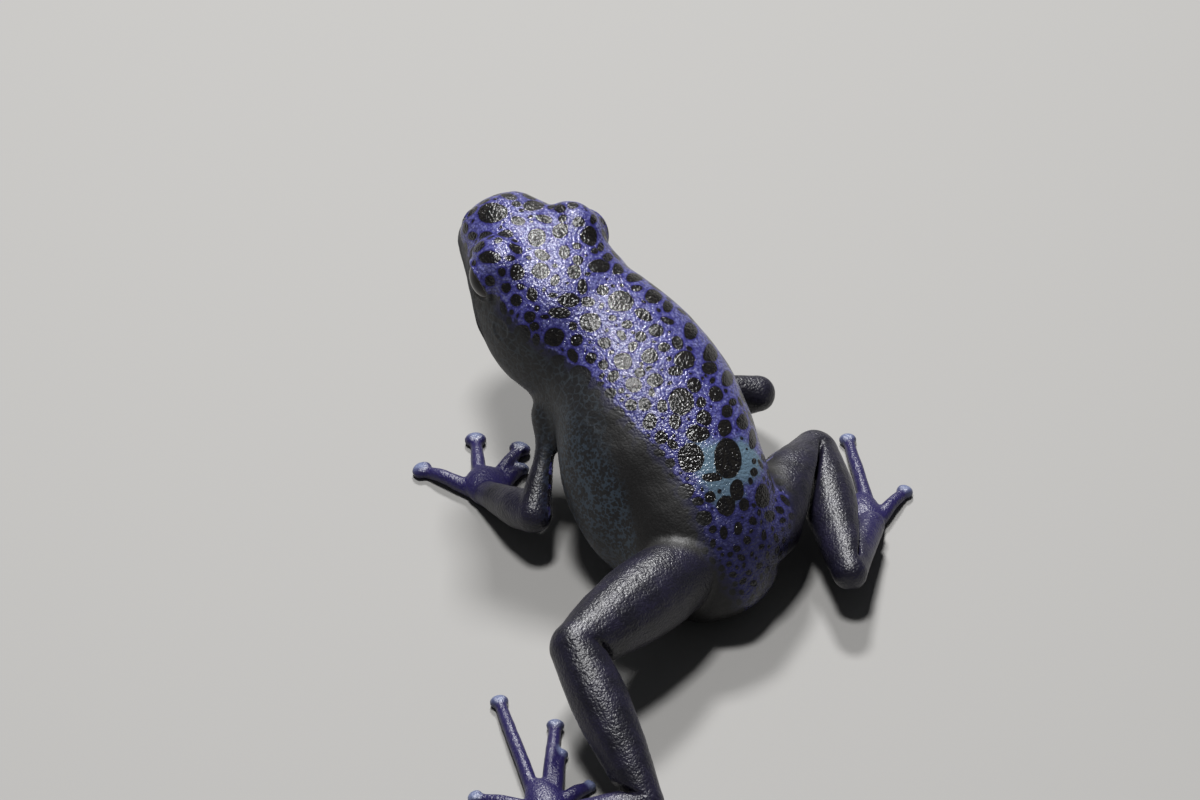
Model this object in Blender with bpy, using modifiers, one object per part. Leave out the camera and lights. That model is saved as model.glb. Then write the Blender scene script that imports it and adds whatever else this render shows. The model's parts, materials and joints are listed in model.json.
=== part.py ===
"""A blue poison dart frog as a still, life-size model, standing with its head raised.

Left and right are the frog's own: the snout points to -Y, its left side is +X and up is +Z.
The sizes below are in millimetres. The frog is modelled whole, as one skin over all its
forms, and thin cuts then part it into head, torso and the segments of each limb.
"""
import bpy
import bmesh
import math
import numpy as np
from mathutils import Matrix, Vector

MM = 0.001
GAP = 0.3            # clear space between neighbouring pieces
SKIN_STEP = 0.26     # fineness of the skin before it is thinned out
KEPT_FACES = 0.062   # share of the skin's triangles that the model keeps
SOFTEN_ROUNDS = 3
CURVE_STEPS = 6      # points read from a smooth curve for each stretch between two stations

# The middle of the frog's outline on the floor, which becomes the model's origin
MIDDLE = (3.3, 7.5)

# Torso: distance back from the shoulders, sideways bend, half width, height of the back, of the belly
TORSO = [
    (-9.0, -0.3, 4.8, 18.8, 9.8),
    (-6.0, -0.4, 6.0, 19.9, 7.6),
    (-3.0, -1.0, 6.7, 19.4, 5.9),
    (0.0, -1.4, 7.2, 18.6, 4.4),
    (4.0, -1.0, 8.4, 17.3, 2.0),
    (8.0, -0.7, 8.2, 15.7, 0.2),
    (11.0, -0.8, 7.2, 14.1, -0.3),
    (14.0, -0.6, 6.6, 12.0, -0.3),
    (17.0, -0.5, 5.0, 9.2, 0.8),
    (19.6, -0.1, 2.9, 6.4, 2.6),
]
RUMP_ROUNDING = 2.6

# The trunk is rolled towards the frog's right from the shoulders to the hips: where this begins and
# is full, how far the back shifts for its height over the widest level, and how far the right side
# draws in, as shares
ROLL_REACH = (-3.0, 10.0)
ROLL_SHIFT = 0.18
ROLL_NARROWING = 0.16

# Head, in its own frame: distance forward of the jaw angle, sideways bend, half width, crown, throat
HEAD = [
    (-5.5, 0.0, 4.9, 2.4, -5.6),
    (-2.5, 0.0, 6.0, 4.3, -6.6),
    (0.0, 0.0, 6.5, 4.9, -6.6),
    (3.0, 0.0, 6.2, 4.9, -5.6),
    (6.0, 0.0, 5.1, 4.5, -4.3),
    (8.5, 0.0, 4.1, 3.9, -3.2),
    (10.4, 0.0, 3.4, 3.2, -2.5),
    (12.0, 0.0, 3.0, 2.6, -1.9),
]
SNOUT_ROUNDING = 2.2
HEAD_BASE = (0.7, -6.8, 15.8)
HEAD_TURN = 5.0
HEAD_LIFT = 11.5

# Sections of torso and head: how square they are, and how high up their widest level lies
SQUARENESS = 2.3
WIDEST_LEVEL = 0.45
RING = 40
CAP_RINGS = 8            # rings that round off the far end
CAP_TIP = 0.06           # width left at the very end, as a share

# Face, in the head's frame: sideways, forward, up
EYE = (4.1, 4.3, 2.1)
EYE_RADIUS = 2.15
LID_OPENING = (1.0, 1.85, 1.5)
BROW = (3.6, 4.4, 2.45)
BROW_SIZE = (2.4, 3.0, 2.75)
MOUTH_REACH = (1.6, 11.98)
MOUTH_LEVEL = -8.0       # degrees below the widest level
MOUTH_GROOVE = 0.24
MOUTH_STEPS = 18
NOSTRIL = (10.9, 34.0)   # distance forward, degrees above the widest level
NOSTRIL_RADIUS = 0.36
EARDRUM = (0.3, 16.0)
EARDRUM_SIZE = (0.24, 0.95, 0.95)

# Joints of the limbs
HIP = (2.8, 15.5, 6.3)
LEFT_LEG = {"knee": (15.9, 20.2, 8.2), "heel": (16.8, 32.1, 2.2), "ankle": (23.3, 29.6, 1.3)}
RIGHT_LEG = {"knee": (-14.0, 7.9, 4.4), "heel": (-9.2, 20.5, 4.0), "ankle": (-14.6, 15.3, 2.2)}
SHOULDER = (4.8, -2.2, 9.6)
LEFT_ARM = {"elbow": (9.1, 2.3, 4.4), "wrist": (9.5, -4.3, 1.5)}
RIGHT_ARM = {"elbow": (-12.8, 1.0, 6.3), "wrist": (-11.2, -4.8, 1.5)}

# Radius of the flesh along each segment, from its root to its end
UPPER_ARM = (1.7, 1.0, 1.08, 1.5)
FOREARM = (1.5, 1.65, 1.35, 1.1)
THIGH = (2.9, 3.3, 2.9, 2.0)
SHANK = (2.0, 2.3, 1.95, 1.45)
TARSUS = (1.45, 1.3, 1.25, 1.2)
SEGMENT_SHARES = (0.0, 0.33, 0.68, 1.0)

# Digits: tips on the floor, from the innermost to the outermost, with their thickness and disc
LEFT_FINGERS = [(5.0, -6.6), (3.9, -8.8), (6.5, -11.7), (12.2, -10.8)]
RIGHT_FINGERS = [(-6.4, -6.6), (-5.8, -9.4), (-8.6, -12.2), (-14.0, -11.0)]
LEFT_TOES = [(18.6, 27.0), (18.9, 22.9), (17.6, 20.0), (20.1, 15.5), (26.9, 23.5)]
RIGHT_TOES = [(-13.8, 11.2), (-14.8, 9.8), (-15.9, 8.2), (-19.8, 4.1), (-20.4, 11.8)]
FINGER_RADIUS = 0.6
FINGER_DISCS = (0.7, 0.95, 0.95, 0.95)
TOE_RADIUS = 0.58
TOE_DISCS = (0.58, 0.7, 0.74, 0.78, 0.72)
HAND_PAD = (1.7, (2.2, 1.75, 1.05))   # distance from the wrist, half axes
FOOT_PAD = (2.2, (3.0, 1.5, 0.95))
PAD_LEVEL = 0.9          # height of a pad's middle, as a share of its half thickness
KNUCKLE_SPREAD = 0.72    # how far apart the digits' roots lie, as a share of the pad's half width

# Shape of a digit, as shares of its radius and of its disc
DIGIT_ROOT = 1.15
DIGIT_ARCH = 0.35
DIGIT_WAIST = 0.85
WAIST_PLACES = (0.9, 0.4)   # distance back from the tip, as shares of the disc
DISC_LEVEL = 0.72
DISC_THICKNESS = 0.78
DISC_LENGTH = 0.85

# Round fillets where two forms grow together: centre and reach
FILLET_ROUNDS = 40
FILLETS = [
    ((-0.2, -4.8, 14.5), 9.5),
    ((6.4, -0.9, 8.0), 3.2), ((-6.8, -0.9, 8.2), 3.2),
    ((6.0, 16.4, 6.6), 5.0), ((-7.4, 12.6, 6.0), 5.0),
]

# Blocks that cut a crease between two folded segments, and all that lies under the floor
CREASE_BLOCK = 30
CREASE_SHARE = 0.6       # half the crease's width, as a share of the gap
FLOOR_BLOCK = 120

# Cuts through the joints: radius, and how far in from the joint they lie, more where a leg is folded
NECK_CUT = (9.6, (0.0, -1.2, -0.6))
ELBOW_CUT = (3.2, 0.5)
WRIST_CUT = (1.9, 0.0)
KNEE_CUTS = {"left": (3.6, 0.5), "right": (6.5, 3.5)}
HEEL_CUTS = {"left": (2.6, 0.5), "right": (4.6, 2.2)}
ANKLE_CUT = (2.9, 0.0)

# Cuts where a limb grows from the torso: share of the first segment, reach, height over the torso
SHOULDER_CUT = (0.33, 3.6)
HIP_CUT = (0.38, 6.4)
ROOT_CUT_LEVEL = 0.6

BLUE = (0.115, 0.12, 0.46)
INDIGO = (0.028, 0.024, 0.085)
VIOLET = (0.05, 0.035, 0.24)
EYE_BLACK = (0.008, 0.006, 0.005)


def smooth_path(rows, steps):
    """Rows of numbers joined by a smooth curve that passes through each of them."""
    rows = np.array(rows, float)
    ends = np.vstack([2 * rows[0] - rows[1], rows, 2 * rows[-1] - rows[-2]])
    out = []
    for i in range(len(rows) - 1):
        a, b, c, d = ends[i:i + 4]
        for t in np.arange(steps) / steps:
            out.append(0.5 * (2 * b + (c - a) * t + (2 * a - 5 * b + 4 * c - d) * t ** 2
                              + (3 * b - a - 3 * c + d) * t ** 3))
    out.append(rows[-1])
    return np.array(out)


def unit(vector):
    return vector / np.linalg.norm(vector)


def new_object(name, bm, collection):
    mesh = bpy.data.meshes.new(name)
    bm.to_mesh(mesh)
    bm.free()
    obj = bpy.data.objects.new(name, mesh)
    collection.objects.link(obj)
    return obj


def ring_point(rows, rounding, place, angle, grow=0.0, rolled=False):
    """A point of a body section: how far along, and at what angle up from its widest level."""
    reach = rows[-1][0]
    bend, half, top, low = [np.interp(place, rows[:, 0], rows[:, k]) for k in (1, 2, 3, 4)]
    inset = max(place - (reach - rounding), 0) / rounding
    shrink = max(math.sqrt(max(1 - inset ** 2, 0)), CAP_TIP)
    middle = low + WIDEST_LEVEL * (top - low)
    c, s = math.cos(angle), math.sin(angle)
    height = (top - middle) if s > 0 else (middle - low)
    side = (half * shrink + grow) * math.copysign(abs(c) ** (2 / SQUARENESS), c)
    up = (height * shrink + grow) * math.copysign(abs(s) ** (2 / SQUARENESS), s)
    if rolled:
        roll = np.clip((place - ROLL_REACH[0]) / (ROLL_REACH[1] - ROLL_REACH[0]), 0, 1)
        side -= ROLL_NARROWING * roll * min(side, 0) + ROLL_SHIFT * roll * max(up, 0)
    return bend + side, middle + up


def body_form(name, stations, rounding, direction, collection, grow=0.0, rolled=False):
    """Rings along the body, closed at both ends, the far end rounded off."""
    rows = smooth_path(stations, CURVE_STEPS)
    start = rows[-1][0] - rounding
    rounded = [start + rounding * math.sin(k * math.pi / 2 / CAP_RINGS) for k in range(CAP_RINGS + 1)]
    places = [r[0] for r in rows if r[0] < start - 0.1] + rounded
    bm = bmesh.new()
    rings = []
    for place in places:
        ring = []
        along = place + grow * max(place - start, 0) / rounding
        for k in range(RING):
            side, up = ring_point(rows, rounding, place, 2 * math.pi * k / RING, grow, rolled)
            ring.append(bm.verts.new(Vector((side, direction * along, up)) * MM))
        rings.append(ring)
    for near, far in zip(rings, rings[1:]):
        for k in range(RING):
            bm.faces.new((near[k], near[(k + 1) % RING], far[(k + 1) % RING], far[k]))
    bm.faces.new(rings[0])
    bm.faces.new(rings[-1])
    bmesh.ops.recalc_face_normals(bm, faces=bm.faces)
    return new_object(name, bm, collection)


def ball(name, centre, radii, collection, turn=Matrix.Identity(4), fineness=24):
    """An ellipsoid with its half axes given in millimetres."""
    bm = bmesh.new()
    place = Matrix.Translation(Vector(centre) * MM) @ turn
    bmesh.ops.create_uvsphere(bm, u_segments=fineness, v_segments=fineness * 7 // 12, radius=1.0,
                              matrix=place @ Matrix.Diagonal((*[r * MM for r in radii], 1)))
    return new_object(name, bm, collection)


def tube(name, rows, collection, steps=CURVE_STEPS):
    """A limb or digit: a smooth curve through rows of x, y, z and radius, with round ends."""
    path = smooth_path(rows, steps)
    curve = bpy.data.curves.new(name, "CURVE")
    curve.dimensions = "3D"
    curve.bevel_depth = MM
    curve.bevel_resolution = 3
    curve.use_fill_caps = True
    spline = curve.splines.new("POLY")
    spline.points.add(len(path) - 1)
    for point, row in zip(spline.points, path):
        point.co = (*(row[:3] * MM), 1)
        point.radius = row[3]
    holder = bpy.data.objects.new(name, curve)
    collection.objects.link(holder)
    bpy.context.view_layer.update()
    made = holder.evaluated_get(bpy.context.evaluated_depsgraph_get())
    mesh = bpy.data.meshes.new_from_object(made)
    bpy.data.objects.remove(holder)
    bm = bmesh.new()
    bm.from_mesh(mesh)
    bpy.data.meshes.remove(mesh)
    bmesh.ops.remove_doubles(bm, verts=bm.verts, dist=0.00001)
    return new_object(name, bm, collection)


def flesh(name, rows, collection):
    """A tube with a ball at each end, so that it meets its neighbours in a round joint."""
    for end in (rows[0], rows[-1]):
        ball(name + "_end", end[:3], (end[3],) * 3, collection)
    return tube(name, rows, collection)


def between(start, end, share):
    start, end = np.array(start, float), np.array(end, float)
    return start + (end - start) * share


def segment(name, start, end, radii, collection):
    """One straight length of a limb whose flesh swells and tapers from start to end."""
    rows = [(*between(start, end, share), radius) for share, radius in zip(SEGMENT_SHARES, radii)]
    return flesh(name, rows, collection)


def digit(name, root, tip, radius, disc, collection):
    """A finger or toe, arched from its root to a flat disc that flares at the tip."""
    tip = np.array((*tip, radius * DISC_LEVEL))
    along = unit(tip - root)
    knuckle = between(root, tip, 0.5) + np.array((0, 0, radius * DIGIT_ARCH))
    waist = [(*(tip - along * disc * share), radius * DIGIT_WAIST) for share in WAIST_PLACES]
    flesh(name, [(*root, radius * DIGIT_ROOT), (*knuckle, radius), *waist], collection)
    turn = Matrix.Rotation(math.atan2(along[1], along[0]), 4, "Z")
    size = (disc * DISC_LENGTH, disc, radius * DISC_THICKNESS)
    ball(name + "_disc", tip - along * disc * (1 - DISC_LENGTH), size, collection, turn)


def spread_digits(name, root, pad_reach, pad_size, tips, radius, discs, collection):
    """The flat of a hand or foot, and the digits that fan out from it to their tips."""
    longest = max(tips, key=lambda tip: math.dist(tip, root[:2]))
    out = unit(np.array((*longest, 0.0)) - (*root[:2], 0.0))
    across = np.array((-out[1], out[0], 0.0))
    across *= math.copysign(1, across[:2] @ (np.array(tips[-1]) - tips[0]))
    centre = (*root[:2], pad_size[2] * PAD_LEVEL) + out * pad_reach
    turn = Matrix.Rotation(math.atan2(out[1], out[0]), 4, "Z")
    ball(name + "_pad", centre, pad_size, collection, turn)
    for k, tip in enumerate(tips):
        place = 2 * k / (len(tips) - 1) - 1
        base = centre + across * place * pad_size[1] * KNUCKLE_SPREAD
        base[2] = radius * DIGIT_ROOT
        digit(f"{name}_{k}", base, tip, radius, discs[k], collection)


def cutting_box(name, point, normal, size, collection):
    """A block whose face lies at the point, with the block on the side the normal points to."""
    bm = bmesh.new()
    turn = Vector(normal).to_track_quat("Z", "Y").to_matrix().to_4x4()
    place = Matrix.Translation(Vector(point) * MM) @ turn @ Matrix.Translation((0, 0, size * MM / 2))
    bmesh.ops.create_cube(bm, size=size * MM, matrix=place)
    return new_object(name, bm, collection)


def combine(obj, other, operation, solver="EXACT"):
    """Boolean of two closed meshes, applied to the first, with the second removed."""
    modifier = obj.modifiers.new(operation, "BOOLEAN")
    modifier.operation = operation
    modifier.object = other
    modifier.solver = solver
    apply_modifiers(obj)
    bpy.data.objects.remove(other)


def apply_modifiers(obj):
    bpy.context.view_layer.update()
    made = obj.evaluated_get(bpy.context.evaluated_depsgraph_get())
    mesh = bpy.data.meshes.new_from_object(made)
    obj.modifiers.clear()
    obj.data = mesh


def fold(first, second, joint, first_end, second_end, collection):
    """Two segments that press together at a sharply bent joint, parted by a narrow crease."""
    a, b = unit(np.array(first_end) - joint), unit(np.array(second_end) - joint)
    normal = unit(a - b)
    inset = normal * GAP * CREASE_SHARE
    combine(first, cutting_box("crease", joint + inset, -normal, CREASE_BLOCK, collection), "DIFFERENCE")
    combine(second, cutting_box("crease", joint - inset, normal, CREASE_BLOCK, collection), "DIFFERENCE")


def arm(side, shoulder, joints, tips, collection):
    elbow, wrist = np.array(joints["elbow"]), np.array(joints["wrist"])
    segment("upper_arm_form", shoulder, elbow, UPPER_ARM, collection)
    segment("forearm_form", elbow, wrist, FOREARM, collection)
    spread_digits(f"finger_{side}", wrist, *HAND_PAD, tips, FINGER_RADIUS, FINGER_DISCS, collection)


def leg(side, hip, joints, tips, collection):
    knee, heel, ankle = [np.array(joints[k]) for k in ("knee", "heel", "ankle")]
    thigh = segment("thigh_form", hip, knee, THIGH, collection)
    shank = segment("shank_form", knee, heel, SHANK, collection)
    tarsus = segment("tarsus_form", heel, ankle, TARSUS, collection)
    fold(thigh, shank, knee, hip, heel, collection)
    fold(shank, tarsus, heel, knee, ankle, collection)
    spread_digits(f"toe_{side}", ankle, *FOOT_PAD, tips, TOE_RADIUS, TOE_DISCS, collection)


def head_frame():
    return (Matrix.Translation(Vector(HEAD_BASE) * MM)
            @ Matrix.Rotation(math.radians(HEAD_TURN), 4, "Z")
            @ Matrix.Rotation(-math.radians(HEAD_LIFT), 4, "X"))


def in_head(point, side=1):
    """A point given sideways, forward and up in the head's frame, in the frog's own millimetres."""
    return np.array(head_frame() @ (Vector((side * point[0], -point[1], point[2])) * MM)) / MM


def on_head(place, degrees, side=1):
    rows = smooth_path(HEAD, CURVE_STEPS)
    across, up = ring_point(rows, SNOUT_ROUNDING, place, math.radians(degrees))
    return in_head((across, place, up), side)


def forms(collection):
    body_form("torso_form", TORSO, RUMP_ROUNDING, 1, collection, rolled=True)
    head = body_form("head_form", HEAD, SNOUT_ROUNDING, -1, collection)
    head.data.transform(head_frame())
    turn = head_frame().to_3x3().to_4x4()
    for side in (1, -1):
        ball("brow", in_head(BROW, side), BROW_SIZE, collection, turn)
    arm("left", SHOULDER, LEFT_ARM, LEFT_FINGERS, collection)
    arm("right", (-SHOULDER[0], *SHOULDER[1:]), RIGHT_ARM, RIGHT_FINGERS, collection)
    leg("left", HIP, LEFT_LEG, LEFT_TOES, collection)
    leg("right", (-HIP[0], *HIP[1:]), RIGHT_LEG, RIGHT_TOES, collection)


def one_skin(collection):
    """The forms as one closed skin, with soft fillets where they meet, standing on the floor."""
    bm = bmesh.new()
    for obj in list(collection.objects):
        bm.from_mesh(obj.data)
        bpy.data.objects.remove(obj)
    whole = new_object("skin", bm, collection)
    remesh = whole.modifiers.new("one skin", "REMESH")
    remesh.mode = "VOXEL"
    remesh.voxel_size = SKIN_STEP * MM
    apply_modifiers(whole)
    group = whole.vertex_groups.new(name="fillets")
    places = np.array([v.co for v in whole.data.vertices]) / MM
    for centre, reach in FILLETS:
        weight = 1 - np.linalg.norm(places - np.array(centre), axis=1) / reach
        for index in np.nonzero(weight > 0)[0]:
            group.add([int(index)], min(1.0, 2 * float(weight[index])), "ADD")
    fillets = whole.modifiers.new("fillets", "SMOOTH")
    fillets.vertex_group = group.name
    fillets.iterations = FILLET_ROUNDS
    soften = whole.modifiers.new("soften", "SMOOTH")
    soften.iterations = SOFTEN_ROUNDS
    thin = whole.modifiers.new("fewer faces", "DECIMATE")
    thin.ratio = KEPT_FACES
    apply_modifiers(whole)
    whole.vertex_groups.clear()
    combine(whole, cutting_box("floor", (0, 0, 0), (0, 0, -1), FLOOR_BLOCK, collection), "DIFFERENCE")
    return whole


def face_details(whole, collection):
    """The mouth's line, nostrils, eardrums and the lids' openings round the eyes."""
    corner, snout = MOUTH_REACH
    places = [corner + (snout - corner) * math.sin(k * math.pi / 2 / MOUTH_STEPS)
              for k in range(MOUTH_STEPS + 1)]
    line = [on_head(place, MOUTH_LEVEL) for place in places]
    line += [on_head(place, MOUTH_LEVEL, -1) for place in reversed(places)]
    mouth = tube("mouth", [(*p, MOUTH_GROOVE) for p in line], collection, steps=1)
    combine(whole, mouth, "DIFFERENCE")
    turn = head_frame().to_3x3().to_4x4()
    for side in (1, -1):
        nostril = ball("nostril", on_head(*NOSTRIL, side), (NOSTRIL_RADIUS,) * 3, collection, turn, 12)
        combine(whole, nostril, "DIFFERENCE")
        eardrum = ball("eardrum", on_head(*EARDRUM, side), EARDRUM_SIZE, collection, turn, 16)
        combine(whole, eardrum, "DIFFERENCE")
        opening = ball("lids", in_head((EYE[0] + EYE_RADIUS, EYE[1], EYE[2]), side),
                       (EYE_RADIUS, LID_OPENING[1], LID_OPENING[2]), collection, turn)
        combine(whole, opening, "DIFFERENCE")
        socket = ball("socket", in_head(EYE, side), (EYE_RADIUS + GAP,) * 3, collection)
        combine(whole, socket, "DIFFERENCE")


def thin_cut(name, point, normal, radius, collection):
    bm = bmesh.new()
    turn = Vector(normal).to_track_quat("Z", "Y").to_matrix().to_4x4()
    bmesh.ops.create_cone(bm, cap_ends=True, segments=20, radius1=radius * MM, radius2=radius * MM,
                          depth=GAP * MM, matrix=Matrix.Translation(Vector(point) * MM) @ turn)
    return new_object(name, bm, collection)


def root_cut(name, root, joint, share, reach, collection):
    """A thin shell just outside the torso's own surface, where a limb grows out of it."""
    outer = body_form(name, TORSO, RUMP_ROUNDING, 1, collection, ROOT_CUT_LEVEL + GAP, True)
    inner = body_form(name + "_inner", TORSO, RUMP_ROUNDING, 1, collection, ROOT_CUT_LEVEL, True)
    combine(outer, inner, "DIFFERENCE")
    near = ball(name + "_reach", between(root, joint, share), (reach,) * 3, collection)
    combine(outer, near, "INTERSECT")
    return outer


def joint_cut(name, joint, before, after, radius, inward, collection):
    """A cut through a joint, halfway between the directions of the two segments."""
    before, after = unit(np.array(before) - joint), unit(np.array(after) - joint)
    return thin_cut(name, joint + unit(before + after) * inward, unit(after - before), radius, collection)


def part_nodes(whole, collection, cutters):
    """Cuts the skin at the neck and the limbs' joints and names each piece that comes free."""
    neck_radius, neck_centre = NECK_CUT
    forward = in_head((0, 1, 0)) - in_head((0, 0, 0))
    cuts = [thin_cut("neck", in_head(neck_centre), forward, neck_radius, cutters)]
    seeds = {"head": in_head((0, 5, 0)), "torso": (-0.8, 8.0, 8.0)}
    limbs = {"left": (1, LEFT_ARM, LEFT_FINGERS, LEFT_LEG, LEFT_TOES),
             "right": (-1, RIGHT_ARM, RIGHT_FINGERS, RIGHT_LEG, RIGHT_TOES)}
    for side, (sign, arm_joints, fingers, leg_joints, toes) in limbs.items():
        shoulder, hip = [np.array((sign * p[0], *p[1:])) for p in (SHOULDER, HIP)]
        elbow, wrist = [np.array(arm_joints[k]) for k in ("elbow", "wrist")]
        knee, heel, ankle = [np.array(leg_joints[k]) for k in ("knee", "heel", "ankle")]
        hand, foot = np.array((*fingers[2], FINGER_RADIUS)), np.array((*toes[3], TOE_RADIUS))
        cuts += [
            root_cut(f"shoulder_{side}", shoulder, elbow, *SHOULDER_CUT, cutters),
            root_cut(f"hip_{side}", hip, knee, *HIP_CUT, cutters),
            joint_cut(f"elbow_{side}", elbow, shoulder, wrist, *ELBOW_CUT, cutters),
            joint_cut(f"wrist_{side}", wrist, elbow, hand, *WRIST_CUT, cutters),
            joint_cut(f"knee_{side}", knee, hip, heel, *KNEE_CUTS[side], cutters),
            joint_cut(f"heel_{side}", heel, knee, ankle, *HEEL_CUTS[side], cutters),
            joint_cut(f"ankle_{side}", ankle, heel, foot, *ANKLE_CUT, cutters),
        ]
        seeds[f"upper_arm_{side}"] = between(shoulder, elbow, 0.75)
        seeds[f"forearm_{side}"] = between(elbow, wrist, 0.5)
        seeds[f"hand_{side}"] = between(wrist, hand, 0.25)
        seeds[f"thigh_{side}"] = between(hip, knee, 0.7)
        seeds[f"shank_{side}"] = between(knee, heel, 0.5)
        seeds[f"tarsus_{side}"] = between(heel, ankle, 0.5)
        seeds[f"foot_{side}"] = between(ankle, foot, 0.2)
    for cut in cuts:
        combine(whole, cut, "DIFFERENCE", "MANIFOLD")
    name_pieces(whole, seeds, collection)


def name_pieces(whole, seeds, collection):
    """Separates the cut skin into its loose pieces and names each after the point that lies in it."""
    bpy.context.view_layer.objects.active = whole
    whole.select_set(True)
    bpy.ops.mesh.separate(type="LOOSE")
    bpy.context.view_layer.update()
    pieces = list(collection.objects)
    for name, seed in seeds.items():
        seed = Vector(seed) * MM
        nearest = min(pieces, key=lambda piece: (piece.closest_point_on_mesh(seed)[1] - seed).length)
        nearest.name = nearest.data.name = name
    for scrap in [piece for piece in pieces if piece.name not in seeds]:
        bpy.data.objects.remove(scrap)


def paint(collection):
    looks = {"head": (BLUE, 0.35), "torso": (BLUE, 0.35), "eye": (EYE_BLACK, 0.08), "hand": (VIOLET, 0.3),
             "foot": (VIOLET, 0.3), "upper_arm": (INDIGO, 0.35), "forearm": (INDIGO, 0.35),
             "thigh": (INDIGO, 0.35), "shank": (INDIGO, 0.35), "tarsus": (VIOLET, 0.3)}
    for obj in collection.objects:
        colour, roughness = looks[obj.name.rsplit("_", 1)[0]]
        material = bpy.data.materials.new(obj.name)
        material.use_nodes = True
        shader = material.node_tree.nodes["Principled BSDF"]
        shader.inputs["Base Color"].default_value = (*colour, 1)
        shader.inputs["Roughness"].default_value = roughness
        shader.inputs["Metallic"].default_value = 0.0
        obj.data.materials.clear()
        obj.data.materials.append(material)
        obj.data.shade_smooth()
        obj.data.set_sharp_from_angle(angle=math.radians(50))


def main():
    for obj in list(bpy.data.objects):
        bpy.data.objects.remove(obj)
    frog = bpy.data.collections.new("poison_dart_frog")
    cutters = bpy.data.collections.new("cutters")
    for collection in (frog, cutters):
        bpy.context.scene.collection.children.link(collection)
    forms(frog)
    whole = one_skin(frog)
    face_details(whole, cutters)
    part_nodes(whole, frog, cutters)
    for name, side in (("eye_left", 1), ("eye_right", -1)):
        ball(name, in_head(EYE, side), (EYE_RADIUS,) * 3, frog)
    for obj in frog.objects:
        obj.data.transform(Matrix.Translation((-MIDDLE[0] * MM, -MIDDLE[1] * MM, 0)))
    paint(frog)


main()
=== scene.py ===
# A blue poison dart frog as a still, life-size model on a pale studio floor.
# Lengths are millimetres in the frog's own plan: the shoulders at its origin, the snout towards -Y
# and the frog's left side towards +X. Left and right are the frog's own.
import bpy
import bmesh
import json
import math
import numpy as np
from mathutils import Matrix, Vector, noise as field
from mathutils.bvhtree import BVHTree
from mathutils.kdtree import KDTree

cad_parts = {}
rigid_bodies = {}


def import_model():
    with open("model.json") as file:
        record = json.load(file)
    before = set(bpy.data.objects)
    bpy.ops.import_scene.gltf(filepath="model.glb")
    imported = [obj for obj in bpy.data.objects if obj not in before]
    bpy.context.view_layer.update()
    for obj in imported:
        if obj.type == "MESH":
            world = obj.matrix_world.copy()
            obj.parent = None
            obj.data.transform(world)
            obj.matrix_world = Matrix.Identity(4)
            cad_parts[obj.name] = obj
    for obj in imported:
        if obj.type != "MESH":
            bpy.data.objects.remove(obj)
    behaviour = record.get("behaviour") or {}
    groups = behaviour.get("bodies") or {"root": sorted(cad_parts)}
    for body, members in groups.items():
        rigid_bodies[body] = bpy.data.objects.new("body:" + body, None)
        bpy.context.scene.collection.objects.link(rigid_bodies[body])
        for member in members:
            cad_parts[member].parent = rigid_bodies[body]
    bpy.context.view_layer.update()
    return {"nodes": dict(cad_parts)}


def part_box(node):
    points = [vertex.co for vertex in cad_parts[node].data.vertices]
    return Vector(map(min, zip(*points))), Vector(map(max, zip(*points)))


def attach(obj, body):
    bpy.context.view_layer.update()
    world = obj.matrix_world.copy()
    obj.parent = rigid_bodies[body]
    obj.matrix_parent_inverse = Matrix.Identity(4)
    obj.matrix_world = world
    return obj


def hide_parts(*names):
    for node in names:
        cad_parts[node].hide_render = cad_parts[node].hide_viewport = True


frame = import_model()
mm = 0.001
planMiddle = (3.3, 7.5)     # the point of the plan that lies over the model's origin
fromPlan = Matrix.Translation((-planMiddle[0] * mm, -planMiddle[1] * mm, 0))
draft = bpy.data.collections.new("forms")
bpy.context.scene.collection.children.link(draft)


# Camera

camera = {
    "azimuth": 149.0,       # degrees round the frog, seen from behind its left side
    "elevation": 42.0,
    "distance": 420.0,
    "lens": 151.2,
    "target": (-8.305, -18.415, 0.0),   # from the model's origin, mm
}


def turnedBack(azimuth, elevation):
    a, e = math.radians(azimuth), math.radians(elevation)
    return Vector((math.sin(a) * math.cos(e), -math.cos(a) * math.cos(e), math.sin(e)))


def newObject(name, data, collection=bpy.context.scene.collection):
    obj = bpy.data.objects.new(name, data)
    collection.objects.link(obj)
    return obj


def makeCamera():
    back = turnedBack(camera["azimuth"], camera["elevation"])
    data = bpy.data.cameras.new("photoCamera")
    data.lens = camera["lens"]
    data.sensor_width = 36.0
    data.clip_start = 0.01
    obj = newObject("photoCamera", data)
    obj.location = Vector(camera["target"]) * mm + back * camera["distance"] * mm
    obj.rotation_euler = back.to_track_quat("Z", "Y").to_euler()
    bpy.context.scene.camera = obj
    return obj


photoCamera = makeCamera()
bpy.context.view_layer.update()
print("camera placed")


# Form building

def smoothPath(rows, steps):
    # a smooth curve through each row of numbers
    rows = np.array(rows, float)
    ends = np.vstack([2 * rows[0] - rows[1], rows, 2 * rows[-1] - rows[-2]])
    path = []
    for i in range(len(rows) - 1):
        a, b, c, d = ends[i:i + 4]
        for t in np.arange(steps) / steps:
            path.append(0.5 * (2 * b + (c - a) * t + (2 * a - 5 * b + 4 * c - d) * t ** 2
                               + (3 * b - a - 3 * c + d) * t ** 3))
    path.append(rows[-1])
    return np.array(path)


def unit(vector):
    return vector / np.linalg.norm(vector)


def between(start, end, share):
    start, end = np.array(start, float), np.array(end, float)
    return start + (end - start) * share


def newForm(name, bm):
    mesh = bpy.data.meshes.new(name)
    bm.to_mesh(mesh)
    bm.free()
    return newObject(name, mesh, draft)


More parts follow.
